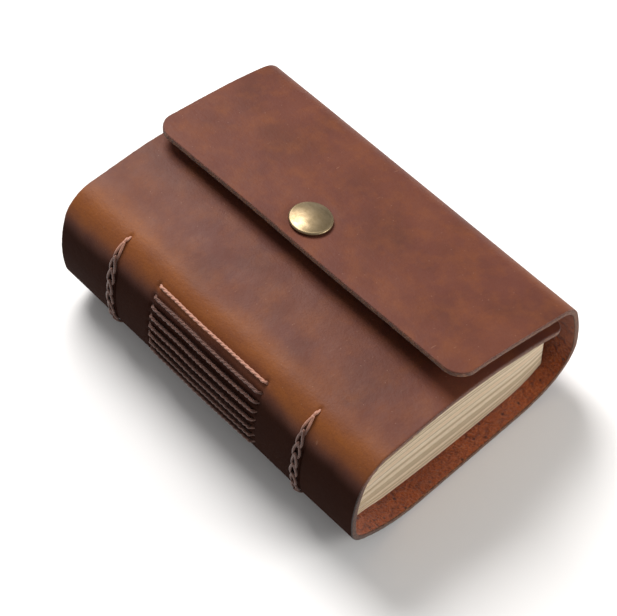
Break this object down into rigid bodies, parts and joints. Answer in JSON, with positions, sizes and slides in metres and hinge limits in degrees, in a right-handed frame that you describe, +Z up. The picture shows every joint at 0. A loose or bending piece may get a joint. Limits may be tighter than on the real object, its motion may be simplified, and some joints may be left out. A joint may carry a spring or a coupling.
{
  "type": "pocket notebook",
  "caption": "Pocket notebook with sewn signatures in a wrapped leather cover, closed by a flap that folds round the fore-edge and fastens with a snap.",
  "frame": {"origin": "centre of the footprint on the surface that the notebook lies on", "axes": "+X from the spine to the fore-edge, +Y along the spine from tail to head, +Z up through the front cover"},
  "size_m": [0.0876, 0.12, 0.0488],
  "materials": {
    "leather": "oiled pull-up leather, satin",
    "paper": "uncoated cream paper",
    "thread": "waxed twisted linen",
    "brass": "antique brass, worn"
  },
  "bodies": {
    "back_cover": {"back_cover": "leather", "spine": "leather", "signature_8": "paper", "sewing_thread": "thread", "chain_stitch_head": "thread", "chain_stitch_tail": "thread"},
    "fore_edge_wrap": {"fore_edge_wrap": "leather"},
    "flap": {"flap": "leather", "snap_cap": "brass", "snap_socket": "brass"},
    "front_cover": {"front_cover": "leather", "snap_stud": "brass", "snap_post": "brass"},
    "signature_1": {"signature_1": "paper"},
    "signature_2": {"signature_2": "paper"},
    "signature_3": {"signature_3": "paper"},
    "signature_4": {"signature_4": "paper"},
    "signature_5": {"signature_5": "paper"},
    "signature_6": {"signature_6": "paper"},
    "signature_7": {"signature_7": "paper"}
  },
  "joints": [
    {"name": "fore_edge_hinge", "type": "hinge", "parent": "back_cover", "child": "fore_edge_wrap", "pos_m": [0.03587, 0, 0.00328], "axis": [0, 1, 0], "range_deg": [0, 75]},
    {"name": "flap_hinge", "type": "hinge", "parent": "fore_edge_wrap", "child": "flap", "pos_m": [0.04179, 0, 0.03205], "axis": [0, 1, 0], "range_deg": [0, 92]},
    {"name": "front_cover_hinge", "type": "hinge", "parent": "back_cover", "child": "front_cover", "pos_m": [-0.03402, 0, 0.04029], "axis": [0, -1, 0], "range_deg": [0, 64]},
    {"name": "signature_1_hinge", "type": "hinge", "parent": "back_cover", "child": "signature_1", "pos_m": [-0.03642, 0, 0.03338], "axis": [0, -1, 0], "range_deg": [0, 16]},
    {"name": "signature_2_hinge", "type": "hinge", "parent": "back_cover", "child": "signature_2", "pos_m": [-0.03766, 0, 0.02994], "axis": [0, -1, 0], "range_deg": [0, 12.5]},
    {"name": "signature_3_hinge", "type": "hinge", "parent": "back_cover", "child": "signature_3", "pos_m": [-0.03857, 0, 0.02651], "axis": [0, -1, 0], "range_deg": [0, 9.8]},
    {"name": "signature_4_hinge", "type": "hinge", "parent": "back_cover", "child": "signature_4", "pos_m": [-0.03917, 0, 0.02307], "axis": [0, -1, 0], "range_deg": [0, 7.3]},
    {"name": "signature_5_hinge", "type": "hinge", "parent": "back_cover", "child": "signature_5", "pos_m": [-0.03948, 0, 0.01963], "axis": [0, -1, 0], "range_deg": [0, 5.1]},
    {"name": "signature_6_hinge", "type": "hinge", "parent": "back_cover", "child": "signature_6", "pos_m": [-0.03951, 0, 0.01619], "axis": [0, -1, 0], "range_deg": [0, 3.1]},
    {"name": "signature_7_hinge", "type": "hinge", "parent": "back_cover", "child": "signature_7", "pos_m": [-0.03915, 0, 0.01276], "axis": [0, -1, 0], "range_deg": [0, 1.4]}
  ],
  "couplings": [
    {"joint": "fore_edge_hinge", "follows": "flap_hinge", "ratio": 0.81522},
    {"joint": "front_cover_hinge", "follows": "flap_hinge", "ratio": 0.69565},
    {"joint": "signature_1_hinge", "follows": "flap_hinge", "ratio": 0.17391},
    {"joint": "signature_2_hinge", "follows": "flap_hinge", "ratio": 0.13587},
    {"joint": "signature_3_hinge", "follows": "flap_hinge", "ratio": 0.10652},
    {"joint": "signature_4_hinge", "follows": "flap_hinge", "ratio": 0.079347},
    {"joint": "signature_5_hinge", "follows": "flap_hinge", "ratio": 0.055434},
    {"joint": "signature_6_hinge", "follows": "flap_hinge", "ratio": 0.033695},
    {"joint": "signature_7_hinge", "follows": "flap_hinge", "ratio": 0.015216}
  ]
}
